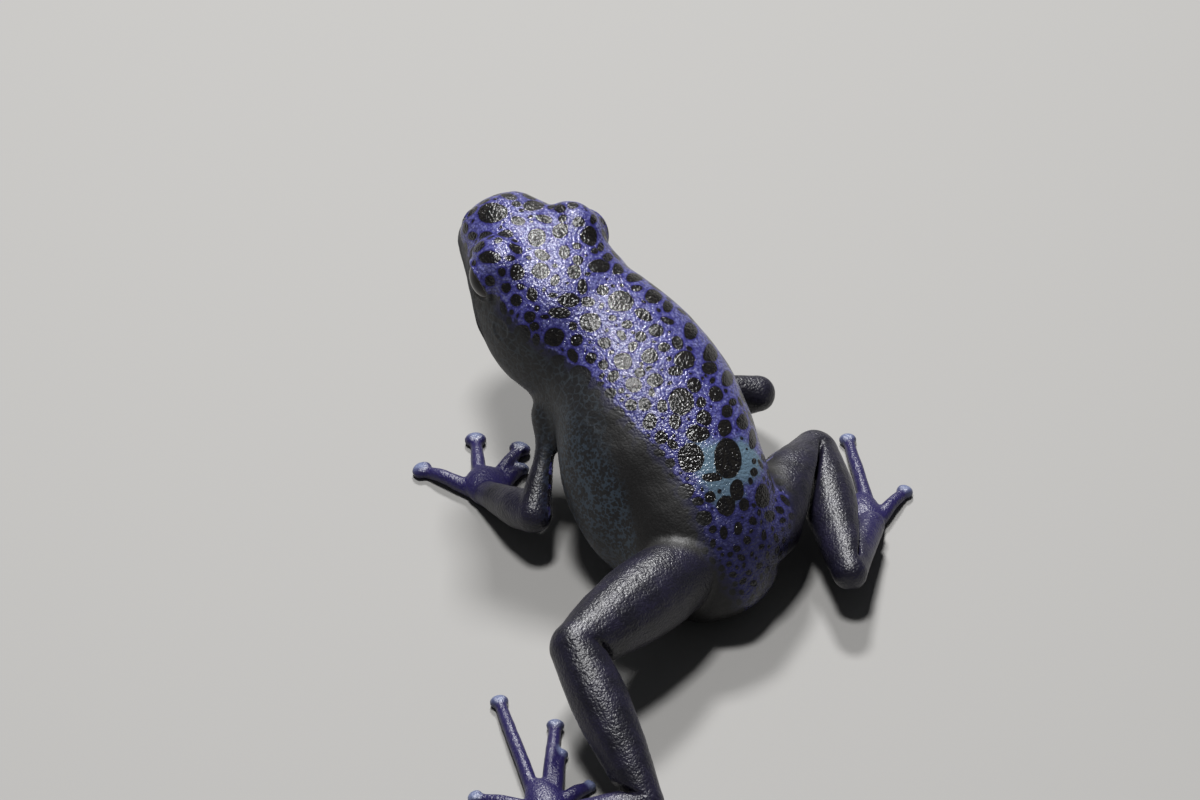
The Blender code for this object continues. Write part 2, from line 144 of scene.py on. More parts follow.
def ball(name, centre, radii, turn=Matrix.Identity(4)):
    bm = bmesh.new()
    place = Matrix.Translation(Vector(centre) * mm) @ turn
    bmesh.ops.create_uvsphere(bm, u_segments=40, v_segments=24, radius=1.0,
                              matrix=place @ Matrix.Diagonal((*[r * mm for r in radii], 1)))
    return newForm(name, bm)


def tube(name, rows, steps=12):
    # rows of x, y, z and radius become a round tube
    curve = bpy.data.curves.new(name, "CURVE")
    curve.dimensions = "3D"
    curve.bevel_depth = mm
    curve.bevel_resolution = 8
    curve.use_fill_caps = True
    path = smoothPath(rows, steps)
    spline = curve.splines.new("POLY")
    spline.points.add(len(path) - 1)
    for point, row in zip(spline.points, path):
        point.co = (*(row[:3] * mm), 1)
        point.radius = row[3]
    holder = newObject(name, curve, draft)
    bpy.context.view_layer.update()
    made = holder.evaluated_get(bpy.context.evaluated_depsgraph_get())
    mesh = bpy.data.meshes.new_from_object(made)
    bpy.data.objects.remove(holder)
    bm = bmesh.new()
    bm.from_mesh(mesh)
    bpy.data.meshes.remove(mesh)
    bmesh.ops.remove_doubles(bm, verts=bm.verts, dist=0.000005)
    return newForm(name, bm)


def flesh(name, rows):
    # a tube with a ball at each end, so that neighbours meet in a round joint
    for end in (rows[0], rows[-1]):
        ball(name + "End", end[:3], (end[3],) * 3)
    return tube(name, rows)


# Torso and head

body = {
    "ring": 96,
    "steps": 12,            # points on the curve between two stations
    "capRings": 16,         # rings that round off the far end
    "capTip": 0.06,         # width left at the very end, as a share
    "squareness": 2.3,      # 2 is an ellipse
    "widestLevel": 0.45,    # of the height of a section
}

torso = {
    # back from the shoulders, sideways bend, half width, height of the back, of the belly; bends, half
    # widths, backs and rollNarrowing were solved by least squares from the outline and rounded, and
    # not chosen by hand
    "stations": [(-9.0, -0.3, 4.8, 18.8, 9.8), (-6.0, -0.4, 6.0, 19.9, 7.6), (-3.0, -1.0, 6.7, 19.4, 5.9),
                 (0.0, -1.4, 7.2, 18.6, 4.4), (4.0, -1.0, 8.4, 17.3, 2.0), (8.0, -0.7, 8.2, 15.7, 0.2),
                 (11.0, -0.8, 7.2, 14.1, -0.3), (14.0, -0.6, 6.6, 12.0, -0.3), (17.0, -0.5, 5.0, 9.2, 0.8),
                 (19.6, -0.1, 2.9, 6.4, 2.6)],
    "rounding": 2.6,
    # the trunk rolls towards the frog's right: where this begins and is full, and as shares how far
    # the back shifts for its height and how far the right side draws in
    "rollReach": (-3.0, 10.0),
    "rollShift": 0.18,
    "rollNarrowing": 0.16,
}

head = {
    # forward of the jaw's angle, sideways bend, half width, crown, throat; half widths, base, turn,
    # lift, brow and browSize were solved with the torso's stations
    "stations": [(-5.5, 0.0, 4.9, 2.4, -5.6), (-2.5, 0.0, 6.0, 4.3, -6.6), (0.0, 0.0, 6.5, 4.9, -6.6),
                 (3.0, 0.0, 6.2, 4.9, -5.6), (6.0, 0.0, 5.1, 4.5, -4.3), (8.5, 0.0, 4.1, 3.9, -3.2),
                 (10.4, 0.0, 3.4, 3.2, -2.5), (12.0, 0.0, 3.0, 2.6, -1.9)],
    "rounding": 2.2,
    "rollReach": (0.0, 1.0),
    "rollShift": 0.0,
    "rollNarrowing": 0.0,
    "base": (0.7, -6.8, 15.8),
    "turn": 5.0,            # degrees to the frog's left
    "lift": 11.5,           # degrees up
    "brow": (3.6, 4.4, 2.45),
    "browSize": (2.4, 3.0, 2.75),
}
headFrame = (Matrix.Translation(Vector(head["base"]) * mm)
             @ Matrix.Rotation(math.radians(head["turn"]), 4, "Z")
             @ Matrix.Rotation(-math.radians(head["lift"]), 4, "X"))


def sectionSize(part, rows, place):
    # bend, half width, widest level, height above it, depth below it
    bend, half, top, low = [np.interp(place, rows[:, 0], rows[:, k]) for k in (1, 2, 3, 4)]
    inset = np.clip((place - (rows[-1, 0] - part["rounding"])) / part["rounding"], 0, 1)
    shrink = np.maximum(np.sqrt(1 - inset ** 2), body["capTip"])
    middle = low + body["widestLevel"] * (top - low)
    return bend, half * shrink, middle, (top - middle) * shrink, (middle - low) * shrink


def rollAt(part, place):
    # shift for height and narrowing of the right side, at a place along the body
    begin, full = part["rollReach"]
    share = np.clip((place - begin) / (full - begin), 0, 1)
    return part["rollShift"] * share, part["rollNarrowing"] * share


def ringPoint(part, rows, place, angle):
    bend, half, middle, above, below = sectionSize(part, rows, place)
    shift, narrowing = rollAt(part, place)
    c, s = math.cos(angle), math.sin(angle)
    power = 2 / body["squareness"]
    side = half * math.copysign(abs(c) ** power, c)
    up = (above if s > 0 else below) * math.copysign(abs(s) ** power, s)
    return bend + side - narrowing * min(side, 0) - shift * max(up, 0), middle + up


def bodyForm(name, part, direction):
    rows = smoothPath(part["stations"], body["steps"])
    rounding = part["rounding"]
    start = rows[-1, 0] - rounding
    places = [r[0] for r in rows if r[0] < start - 0.05]
    caps = body["capRings"]
    places += [start + rounding * math.sin(k * math.pi / 2 / caps) for k in range(caps + 1)]
    bm = bmesh.new()
    rings = []
    for place in places:
        ring = []
        for k in range(body["ring"]):
            side, up = ringPoint(part, rows, place, 2 * math.pi * k / body["ring"])
            ring.append(bm.verts.new(Vector((side, direction * place, up)) * mm))
        rings.append(ring)
    for near, far in zip(rings, rings[1:]):
        for k in range(len(near)):
            bm.faces.new((near[k], near[k - 1], far[k - 1], far[k]))
    bm.faces.new(rings[0])
    bm.faces.new(rings[-1])
    bmesh.ops.recalc_face_normals(bm, faces=bm.faces)
    return newForm(name, bm)


def inHead(point, side=1):
    # sideways, forward and up in the head's frame, given back in the frog's plan
    return np.array(headFrame @ (Vector((side * point[0], -point[1], point[2])) * mm)) / mm


# Limbs

limbs = {
    "hip": (2.8, 15.5, 6.3),
    "leftLeg": {"knee": (15.9, 20.2, 8.2), "heel": (16.8, 32.1, 2.2), "ankle": (23.3, 29.6, 1.3)},
    "rightLeg": {"knee": (-14.0, 7.9, 4.4), "heel": (-9.2, 20.5, 4.0), "ankle": (-14.6, 15.3, 2.2)},
    "shoulder": (4.8, -2.2, 9.6),
    "leftArm": {"elbow": (9.1, 2.3, 4.4), "wrist": (9.5, -4.3, 1.5)},
    "rightArm": {"elbow": (-12.8, 1.0, 6.3), "wrist": (-11.2, -4.8, 1.5)},
    # radius of the flesh along each segment
    "shares": (0.0, 0.33, 0.68, 1.0),
    "upperArm": (1.7, 1.0, 1.08, 1.5),
    "forearm": (1.5, 1.65, 1.35, 1.1),
    "thigh": (2.9, 3.3, 2.9, 2.0),
    "shank": (2.0, 2.3, 1.95, 1.45),
    "tarsus": (1.45, 1.3, 1.25, 1.2),
    "crease": 0.18,         # half the slit between segments that are folded together
}

digits = {
    # tips on the floor, from the innermost to the outermost
    "leftFingers": [(5.0, -6.6), (3.9, -8.8), (6.5, -11.7), (12.2, -10.8)],
    "rightFingers": [(-6.4, -6.6), (-5.8, -9.4), (-8.6, -12.2), (-14.0, -11.0)],
    "leftToes": [(18.6, 27.0), (18.9, 22.9), (17.6, 20.0), (20.1, 15.5), (26.9, 23.5)],
    "rightToes": [(-13.8, 11.2), (-14.8, 9.8), (-15.9, 8.2), (-19.8, 4.1), (-20.4, 11.8)],
    "fingerRadius": 0.6,
    "fingerDiscs": (0.7, 0.95, 0.95, 0.95),
    "toeRadius": 0.58,
    "toeDiscs": (0.58, 0.7, 0.74, 0.78, 0.72),
    "handPad": (1.7, (2.2, 1.75, 1.05)),     # distance from the wrist, half axes
    "footPad": (2.2, (3.0, 1.5, 0.95)),
    "padLevel": 0.9,
    "knuckleSpread": 0.72,
    # shares of a digit's radius or of its disc
    "root": 1.15,
    "arch": 0.35,
    "waist": 0.85,
    "discLevel": 0.72,
    "discThickness": 0.78,
    "discLength": 0.85,
    "waistPlaces": (0.9, 0.4),      # back from the tip
    "scute": 0.5,
    "scutePlace": (0.85, 0.1, 0.42),    # aside, back and up
    "scuteSize": (0.8, 0.5),        # width and height
}
bones = []      # start, end, radius and kind of each length of limb, for the markings
tips = []       # the middle of each disc


def segment(name, start, end, radii):
    rows = [(*between(start, end, share), radius) for share, radius in zip(limbs["shares"], radii)]
    bones.append((np.array(start, float), np.array(end, float), max(radii), name))
    return flesh(name, rows)


def digit(name, root, tip, radius, disc):
    # arched from its root to a flat disc that carries two small scutes
    tip = np.array((*tip, radius * digits["discLevel"]))
    along = unit(tip - root)
    across = np.array((-along[1], along[0], 0.0))
    knuckle = between(root, tip, 0.5) + np.array((0, 0, radius * digits["arch"]))
    waist = radius * digits["waist"]
    waists = [(*(tip - along * disc * back), waist) for back in digits["waistPlaces"]]
    flesh(name, [(*root, radius * digits["root"]), (*knuckle, radius), *waists])
    turn = Matrix.Rotation(math.atan2(along[1], along[0]), 4, "Z")
    middle = tip - along * disc * (1 - digits["discLength"])
    ball(name + "Disc", middle, (disc * digits["discLength"], disc, radius * digits["discThickness"]), turn)
    scute = disc * digits["scute"]
    (aside, back, up), (wide, high) = digits["scutePlace"], digits["scuteSize"]
    for side in (1, -1):
        place = middle + across * side * scute * aside + np.array((0, 0, radius * up)) - along * disc * back
        ball(name + "Scute", place, (scute, scute * wide, radius * high), turn)
    bones.append((root, tip, radius, "digit"))
    tips.append(tip)


def spreadDigits(name, root, padReach, padSize, ends, radius, discs):
    longest = max(ends, key=lambda end: math.dist(end, root[:2]))
    out = unit(np.array((*longest, 0.0)) - (*root[:2], 0.0))
    across = np.array((-out[1], out[0], 0.0))
    across *= math.copysign(1, across[:2] @ (np.array(ends[-1]) - ends[0]))
    centre = (*root[:2], padSize[2] * digits["padLevel"]) + out * padReach
    ball(name + "Pad", centre, padSize, Matrix.Rotation(math.atan2(out[1], out[0]), 4, "Z"))
    bones.append((np.array(root, float), centre + out * padSize[0] * 0.5, padSize[1], "pad"))
    for k, end in enumerate(ends):
        place = 2 * k / (len(ends) - 1) - 1
        base = centre + across * place * padSize[1] * digits["knuckleSpread"]
        base[2] = radius * digits["root"]
        digit(f"{name}{k}", base, end, radius, discs[k])


def cutAway(form, point, normal):
    # removes all of a form that lies beyond a plane
    bm = bmesh.new()
    turn = Vector(normal).to_track_quat("Z", "Y").to_matrix().to_4x4()
    block = 30 * mm
    place = Matrix.Translation(Vector(point) * mm) @ turn @ Matrix.Translation((0, 0, block / 2))
    bmesh.ops.create_cube(bm, size=block, matrix=place)
    cutter = newForm("crease", bm)
    cut = form.modifiers.new("crease", "BOOLEAN")
    cut.operation = "DIFFERENCE"
    cut.solver = "EXACT"
    cut.object = cutter
    applyModifiers(form)
    bpy.data.objects.remove(cutter)


def applyModifiers(obj):
    bpy.context.view_layer.update()
    made = obj.evaluated_get(bpy.context.evaluated_depsgraph_get())
    mesh = bpy.data.meshes.new_from_object(made)
    obj.modifiers.clear()
    obj.data = mesh


def fold(first, second, joint, firstEnd, secondEnd):
    # two segments that press together at a bent joint keep a crease between them
    normal = unit(unit(np.array(firstEnd) - joint) - unit(np.array(secondEnd) - joint))
    cutAway(first, joint + normal * limbs["crease"], -normal)
    cutAway(second, joint - normal * limbs["crease"], normal)


def arm(shoulder, joints, ends):
    elbow, wrist = np.array(joints["elbow"]), np.array(joints["wrist"])
    segment("upperArm", shoulder, elbow, limbs["upperArm"])
    segment("forearm", elbow, wrist, limbs["forearm"])
    spreadDigits("finger", wrist, *digits["handPad"], ends, digits["fingerRadius"], digits["fingerDiscs"])


def leg(hip, joints, ends):
    knee, heel, ankle = [np.array(joints[k]) for k in ("knee", "heel", "ankle")]
    thigh = segment("thigh", hip, knee, limbs["thigh"])
    shank = segment("shank", knee, heel, limbs["shank"])
    tarsus = segment("tarsus", heel, ankle, limbs["tarsus"])
    fold(thigh, shank, knee, hip, heel)
    fold(shank, tarsus, heel, knee, ankle)
    spreadDigits("toe", ankle, *digits["footPad"], ends, digits["toeRadius"], digits["toeDiscs"])


def mirrored(point):
    return (-point[0], *point[1:])


def makeForms():
    bodyForm("torso", torso, 1)
    headForm = bodyForm("head", head, -1)
    headForm.data.transform(headFrame)
    turn = headFrame.to_3x3().to_4x4()
    for side in (1, -1):
        ball("brow", inHead(head["brow"], side), head["browSize"], turn)
    arm(limbs["shoulder"], limbs["leftArm"], digits["leftFingers"])
    arm(mirrored(limbs["shoulder"]), limbs["rightArm"], digits["rightFingers"])
    leg(limbs["hip"], limbs["leftLeg"], digits["leftToes"])
    leg(mirrored(limbs["hip"]), limbs["rightLeg"], digits["rightToes"])


# Skin

skin = {
    "voxel": 0.12,
    "filletReach": 0.82,    # how far the fillets spread
    "softness": 0.22,       # how far every edge is softened
    "browFillet": 5.2,      # reach of the fillet round each brow
    "unevenness": ((2.2, 0.05), (0.9, 0.025)),  # width and height of low swellings all over, mm
    # where two forms grow together: centre and reach
    "fillets": [((-0.2, -4.8, 14.5), 9.5), ((6.4, -0.9, 8.0), 3.2), ((-6.8, -0.9, 8.2), 3.2),
                ((6.0, 16.4, 6.6), 5.0), ((-7.4, 12.6, 6.0), 5.0)],
}


def smoothRounds(reach):
    # rounds of smoothing that move a bump's edge by about the given reach
    return round(4 * (reach / skin["voxel"]) ** 2)


def readPlaces(obj):
    flat = np.empty(len(obj.data.vertices) * 3)
    obj.data.vertices.foreach_get("co", flat)
    return flat.reshape(-1, 3) / mm


def writePlaces(obj, places):
    # nothing reaches below the floor
    places[:, 2] = np.maximum(places[:, 2], 0)
    obj.data.vertices.foreach_set("co", (places * mm).ravel())
    obj.data.update()


def readNormals(obj):
    flat = np.empty(len(obj.data.vertices) * 3)
    obj.data.vertex_normals.foreach_get("vector", flat)
    return flat.reshape(-1, 3)


def makeSkin():
    bm = bmesh.new()
    for obj in list(draft.objects):
        bm.from_mesh(obj.data)
        bpy.data.objects.remove(obj)
    obj = newForm("frogSkin", bm)
    remesh = obj.modifiers.new("oneSkin", "REMESH")
    remesh.mode = "VOXEL"
    remesh.voxel_size = skin["voxel"] * mm
    applyModifiers(obj)
    group = obj.vertex_groups.new(name="fillets")
    places = readPlaces(obj)
    weights = np.zeros(len(places))
    brows = [(inHead(head["brow"], side), skin["browFillet"]) for side in (1, -1)]
    for centre, reach in skin["fillets"] + brows:
        weights += np.clip(2 * (1 - np.linalg.norm(places - centre, axis=1) / reach), 0, 1)
    weights = np.round(np.clip(weights, 0, 1) * 20) / 20
    for weight in np.unique(weights[weights > 0]):
        group.add(np.nonzero(weights == weight)[0].tolist(), float(weight), "REPLACE")
    fillets = obj.modifiers.new("fillets", "SMOOTH")
    fillets.vertex_group = group.name
    fillets.iterations = smoothRounds(skin["filletReach"])
    soften = obj.modifiers.new("soften", "SMOOTH")
    soften.iterations = smoothRounds(skin["softness"])
    applyModifiers(obj)
    obj.vertex_groups.clear()
    places, normals = readPlaces(obj), readNormals(obj)
    for width, height in skin["unevenness"]:
        swelling = np.array([field.noise(place) for place in (places / width).tolist()])
        places += normals * (height * swelling)[:, None]
    writePlaces(obj, places)
    return obj


# Face

face = {
    "lidHalf": (1.55, 1.15),    # half width and half height of the opening between the lids
    "lidTurn": (0.32, -0.25),   # how far the opening lies forward and up of the eye's middle
    "lidThickness": 0.2,
    "lidRim": (0.06, 1.14, 0.1),    # how far it stands proud; place and width in halves of the opening
    "lidEdge": (0.97, 1.05),    # where the skin steps down into the opening, in halves of it
    "lidBlend": (1.2, 1.75, 1.4),   # where a lid starts to blend, and has blended below and above
    "lidInside": 0.92,          # the skin in the opening and where the shaping ends, in radii of the eye
    "lidFade": (1.25, 1.6),
    "lidReach": 2.2,
    "lidCover": 0.7,            # share of its thickness that a lid keeps all over the eye
    "mouthCorner": (1.8, -2.1),     # forward and up
    "mouthTip": (11.9, -0.35),
    "snoutRound": 2.0,
    "mouthDepth": 0.34,
    "mouthWidth": 0.15,
    "cornerFade": (-0.3, 1.5),  # forward of the mouth's corner
    "lip": (0.09, 0.42, 0.2),   # height, distance and width
    "nostril": (10.9, 34.0),    # forward, degrees above the widest level
    "nostrilRadius": 0.3,
    "nostrilDepth": 0.45,
    "nostrilRim": (0.08, 0.55, 0.16),
    "eardrum": (0.3, 16.0),
    "eardrumRadius": 0.95,
    "eardrumRing": (0.03, 0.16),    # height and width
    "eardrumDip": (0.05, 0.3),      # depth and width of its slope
}


def smoothStep(low, high, values):
    t = np.clip((values - low) / (high - low), 0, 1)
    return t * t * (3 - 2 * t)


def inHeadFrame(places):
    # plan places as sideways, forward and up in the head's frame
    turn = np.array(headFrame.inverted())
    local = places @ turn[:3, :3].T + turn[:3, 3] / mm
    return local * (1, -1, 1)


def fromHeadFrame(local):
    turn = np.array(headFrame)
    return (local * (1, -1, 1)) @ turn[:3, :3].T + turn[:3, 3] / mm


def eyeBall(side):
    # centre in the plan and radius of the eye that the frame holds
    low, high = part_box("eye_left" if side > 0 else "eye_right")
    centre = np.array((low + high) / 2) / mm + (*planMiddle, 0)
    return centre, (high.x - low.x) / 2 / mm


def treeOf(obj, places):
    return BVHTree.FromPolygons(places.tolist(), [tuple(p.vertices) for p in obj.data.polygons])


def mouthLine(tree):
    # along one jaw, round the snout and back along the other, where level rays leave the head
    (cornerAt, cornerUp), (tipAt, tipUp) = face["mouthCorner"], face["mouthTip"]
    straight = [(place, 90.0) for place in np.linspace(cornerAt, tipAt - face["snoutRound"], 32)]
    rounded = [(tipAt - face["snoutRound"], degrees) for degrees in np.linspace(85, 0, 18)]
    half = []
    for place, degrees in straight + rounded:
        aside, ahead = math.sin(math.radians(degrees)), math.cos(math.radians(degrees))
        share = (place + face["snoutRound"] * ahead - cornerAt) / (tipAt - cornerAt)
        start = (0, place, cornerUp + (tipUp - cornerUp) * share)
        half.append([np.array(tree.ray_cast(Vector(inHead(start)), Vector(
            inHead(np.add(start, (side * aside, ahead, 0))) - inHead(start)))[0]) for side in (1, -1)])
    return [pair[0] for pair in half] + [pair[1] for pair in half[-2::-1]]


def onHead(tree, place, degrees, side=1):
    # the point of the skin at a distance forward and an angle up from the widest level
    rows = smoothPath(head["stations"], body["steps"])
    across, up = ringPoint(head, rows, place, math.radians(degrees))
    return np.array(tree.find_nearest(Vector(inHead((across, place, up), side)))[0])


def offsets(places, a, b):
    # from the nearest point of the stretch from a to b
    share = np.clip((places - a) @ (b - a) / ((b - a) @ (b - a)), 0, 1)
    return places - a - share[:, None] * (b - a)


def awayFromLine(places, line):
    nearest = np.full(len(places), 1e9)
    for a, b in zip(line, line[1:]):
        nearest = np.minimum(nearest, np.linalg.norm(offsets(places, a, b), axis=1))
    return nearest


def ridge(away, place, width):
    # 1 at a distance, falling off softly on both sides
    return np.exp(-((away - place) / width) ** 2)


def shapeLids(places, side):
    centre, radius = eyeBall(side)
    local = inHeadFrame(places)
    offset = local - inHeadFrame(centre[None])[0]
    reach = np.linalg.norm(offset, axis=1)
    near = np.nonzero((reach < face["lidReach"] * radius) & (offset[:, 0] * side > 0))[0]
    look = offset[near] / reach[near, None]
    (wide, high), (forward, up) = [[size / radius for size in face[key]] for key in ("lidHalf", "lidTurn")]
    edge = np.hypot((look[:, 1] - forward) / wide, (look[:, 2] - up) / high)
    rimHeight, *rimPlace = face["lidRim"]
    lid = radius + face["lidThickness"] + rimHeight * ridge(edge, *rimPlace)
    lid += (face["lidInside"] * radius - lid) * (1 - smoothStep(*face["lidEdge"], edge))
    begin, below, above = face["lidBlend"]
    share = 1 - smoothStep(begin, below + (above - below) * smoothStep(-0.4, 0.6, look[:, 2] / high), edge)
    share *= 1 - smoothStep(*face["lidFade"], reach[near] / radius)
    shaped = reach[near] * (1 - share) + lid * share
    cover = radius + face["lidThickness"] * face["lidCover"]
    shaped = np.where(edge > face["lidEdge"][1], np.maximum(shaped, cover), shaped)
    local[near] = inHeadFrame(centre[None])[0] + look * shaped[:, None]
    places[near] = fromHeadFrame(local[near])


def shapeFace(obj):
    places, normals = readPlaces(obj), readNormals(obj)
    tree = treeOf(obj, places)
    away = awayFromLine(places, mouthLine(tree))
    cornerFade = smoothStep(*face["cornerFade"], inHeadFrame(places)[:, 1] - face["mouthCorner"][0])
    groove = face["mouthDepth"] * ridge(away, 0, face["mouthWidth"])
    lipHeight, *lipPlace = face["lip"]
    places += normals * ((lipHeight * ridge(away, *lipPlace) - groove) * cornerFade)[:, None]
    for side in (1, -1):
        away = np.linalg.norm(places - onHead(tree, *face["nostril"], side), axis=1)
        rimHeight, *rimPlace = face["nostrilRim"]
        dent = face["nostrilDepth"] * ridge(away, 0, face["nostrilRadius"])
        places -= normals * (dent - rimHeight * ridge(away, *rimPlace))[:, None]
        away = np.linalg.norm(places - onHead(tree, *face["eardrum"], side), axis=1)
        size = face["eardrumRadius"]
        (ringHeight, ringWidth), (depth, slope) = face["eardrumRing"], face["eardrumDip"]
        dip = depth * (1 - smoothStep(size - slope, size, away))
        places += normals * (ringHeight * ridge(away, size, ringWidth) - dip)[:, None]
        shapeLids(places, side)
    writePlaces(obj, places)


# Markings

markings = {
    "seed": 7,
    "gaps": (0.1, 0.42),    # least and most width of the net between two spots
    "sizes": (0.72, 0.6, 0.5, 0.42, 0.34, 0.27, 0.21, 0.16, 0.12),
    "tries": 3000,          # tries at each size
    "spotDepth": 1.8,       # how far below the back's edge the spots go on
    # pixels of the 1200 by 800 frame along the edge of the back's pattern, from the snout to the rump; on the
    # left this edge is partly where the pattern turns dark and partly where the flank turns into shade, so
    # the dark flank below it is partly painted shade
    "leftEdge": [(468, 256), (476, 276), (487, 291), (505, 307), (516, 322), (537, 342), (566, 357),
                 (594, 377), (621, 406), (643, 433), (668, 459), (684, 484), (696, 504), (704, 524),
                 (715, 555), (735, 586)],
    "rightDrop": 2.6,       # how much lower the pattern reaches on the right side; the left side's edge sits higher as it partly follows painted shade
    "patch": [(712, 462), (748, 462), (724, 483)],      # the cyan patch on the small of the back
    # black band below the back's edge: growth towards the hips, where it starts, widest
    "band": (0.62, 3.5, 6.0),
    "bandEdge": (-2.2, 1.4),
    "bandFade": (2.0, 6.0),     # from where to where along the trunk it comes in
    "stippleEdge": (2.0, 5.5),  # how far below the back's edge the stipple comes in
    "stippleFade": (-2.0, 4.0),
    # where along the trunk the net darkens towards the rump: partly its own deeper tone, partly painted shade
    "rump": (12.0, 18.0),
    "largest": 0.66,            # radius of the largest scattered spot, and where along it shrinks by how much
    "shrinks": ((11.0, 15.0, 0.2), (14.5, 17.5, 0.16)),
    "headShrinks": 0.2,
    "frameSize": (1200, 800),
    # spots seen from the camera: pixel of the 1200 by 800 frame, then width and height there, mm
    "seen": [
        (492, 212, 2.5, 1.75), (534, 205, 1.7, 0.85), (560, 208, 0.95, 0.7), (579, 222, 1.0, 0.9),
        (589, 237, 1.35, 1.65), (560, 231, 1.3, 1.2), (472, 236, 0.75, 0.7), (489, 257, 1.85, 1.0),
        (517, 272, 1.1, 1.35), (490, 281, 0.85, 0.85), (506, 288, 0.85, 0.85), (516, 300, 0.95, 0.95),
        (532, 294, 0.9, 1.1), (529, 317, 0.95, 0.95), (534, 327, 0.8, 0.75), (554, 337, 1.6, 1.5),
        (600, 266, 1.75, 1.1), (608, 257, 0.8, 0.7), (618, 270, 0.9, 1.2), (635, 277, 1.4, 0.7),
        (621, 301, 2.1, 1.75), (590, 322, 1.75, 1.5), (541, 271, 1.5, 1.3), (574, 272, 1.1, 1.2),
        (656, 330, 1.2, 1.0), (627, 324, 0.9, 0.7), (664, 347, 1.0, 0.8), (623, 361, 1.5, 1.4),
        (577, 340, 1.0, 0.9), (605, 343, 1.1, 0.9), (603, 365, 0.9, 0.8), (579, 378, 1.8, 2.0),
        (634, 385, 1.3, 1.2), (655, 380, 1.3, 1.1), (681, 401, 2.05, 2.2), (716, 394, 1.2, 1.3),
        (701, 402, 0.8, 0.9), (663, 406, 0.9, 1.0), (675, 422, 1.0, 1.2), (661, 437, 1.0, 1.05),
        (610, 393, 0.9, 0.9), (691, 330, 1.1, 1.4), (704, 418, 1.2, 1.4), (698, 433, 1.8, 1.4),
        (725, 428, 1.1, 1.3), (727, 411, 0.95, 1.0), (743, 422, 1.0, 1.3), (691, 458, 2.1, 2.3),
        (728, 458, 2.2, 3.25), (712, 477, 1.7, 0.7), (763, 496, 1.25, 1.9), (726, 506, 1.5, 1.6),
        (710, 497, 0.95, 1.0), (737, 490, 1.1, 1.6), (744, 505, 0.8, 1.0), (704, 518, 1.3, 1.2),
        (754, 472, 0.6, 0.7), (738, 529, 0.7, 1.0), (753, 521, 0.7, 0.7), (770, 516, 0.8, 0.9),
        (465, 228, 0.5, 0.9), (510, 258, 0.9, 0.5), (502, 272, 0.6, 0.7), (520, 287, 0.7, 0.6),
        (536, 339, 0.6, 1.1), (522, 334, 1.45, 1.5), (545, 317, 0.9, 0.35), (553, 295, 0.8, 0.4),
        (559, 313, 1.7, 0.9), (569, 300, 1.7, 1.1), (573, 326, 0.7, 0.7), (591, 358, 0.9, 0.9),
        (650, 356, 1.3, 1.2), (641, 337, 0.9, 0.8), (612, 318, 0.7, 0.5), (654, 296, 1.4, 1.15),
        (668, 306, 0.8, 1.0), (637, 288, 0.9, 0.5), (618, 276, 0.8, 0.5), (601, 247, 0.5, 0.75),
        (573, 205, 0.9, 0.6), (594, 219, 0.5, 0.8), (564, 252, 0.9, 1.2), (577, 246, 0.7, 0.6),
        (537, 237, 1.5, 1.6), (578, 260, 0.9, 0.8), (588, 302, 1.1, 0.8), (603, 290, 1.0, 0.9),
        (557, 362, 1.2, 1.2), (540, 372, 1.0, 1.1), (594, 395, 1.0, 0.9), (617, 413, 1.3, 1.0),
        (631, 405, 1.0, 0.9), (644, 404, 1.0, 1.1), (694, 385, 1.2, 1.2), (675, 371, 1.2, 0.8),
        (685, 360, 1.7, 1.4), (640, 373, 0.8, 0.8), (710, 367, 1.2, 1.2), (711, 353, 1.1, 1.6),
        (728, 378, 0.9, 1.3), (733, 402, 0.6, 0.6), (753, 439, 0.6, 1.6), (670, 463, 0.8, 0.8),
        (686, 491, 1.3, 1.2), (698, 501, 1.0, 0.7), (724, 533, 0.6, 1.0), (747, 540, 0.7, 0.7),
        (713, 543, 0.5, 0.8), (764, 535, 0.4, 0.8),
    ],
}


def limbShares(places):
    # which kind of limb each place is nearest to
    kinds = ("upperArm", "forearm", "thigh", "shank", "tarsus", "pad", "digit")
    nearest = {kind: np.full(len(places), 1e9) for kind in kinds}
    for start, end, radius, kind in bones:
        away = awayFromLine(places, [start, end]) / radius
        nearest[kind] = np.minimum(nearest[kind], away)
    stacked = np.array([np.exp(-4 * nearest[kind] ** 2) for kind in kinds]) + 1e-9
    stacked /= stacked.sum(0)
    return dict(zip(kinds, stacked))


def levelIn(part, along, side, up):
    # how far out of a body section a place lies, 1 on the form itself, and how high in it
    rows = smoothPath(part["stations"], body["steps"])
    bend, half, middle, above, below = sectionSize(part, rows, along)
    shift, narrowing = rollAt(part, along)
    rise = (up - middle) / np.where(up > middle, above, below)
    straight = side - bend + shift * np.maximum(up - middle, 0)
    straight = np.where(straight < 0, straight / (1 - narrowing), straight)
    power = body["squareness"]
    level = (np.abs(straight / half) ** power + np.abs(rise) ** power) ** (1 / power)
    beyond = np.maximum(np.maximum(along - rows[-1, 0], rows[0, 0] - along), 0)
    return level + beyond / 2, rise


def placeSeen(tree, pixel):
    # where the camera's ray through a pixel meets the skin
    half = photoCamera.data.sensor_width / 2 / photoCamera.data.lens
    start = np.array(photoCamera.matrix_world.translation) / mm + (*planMiddle, 0)
    turn = np.array(photoCamera.matrix_world.to_3x3())
    right, down = [size / 2 for size in markings["frameSize"]]
    ray = turn @ ((pixel[0] - right) / right * half, (down - pixel[1]) / right * half, -1)
    found = tree.ray_cast(Vector(start), Vector(ray))
    return (np.array(found[0]), np.array(found[1])) if found[0] is not None else (None, None)


def aboveLine(places, normals, line):
    # distance from a line that runs along the left flank, positive towards the back
    nearest = np.full(len(places), 1e9)
    signed = np.zeros(len(places))
    for a, b in zip(line, line[1:]):
        offset = offsets(places, a, b)
        away = np.linalg.norm(offset, axis=1)
        up = np.einsum("ij,ij->i", np.cross(normals, unit(b - a)), offset)
        signed = np.where(away < nearest, np.sign(up) * away, signed)
        nearest = np.minimum(nearest, away)
    return signed


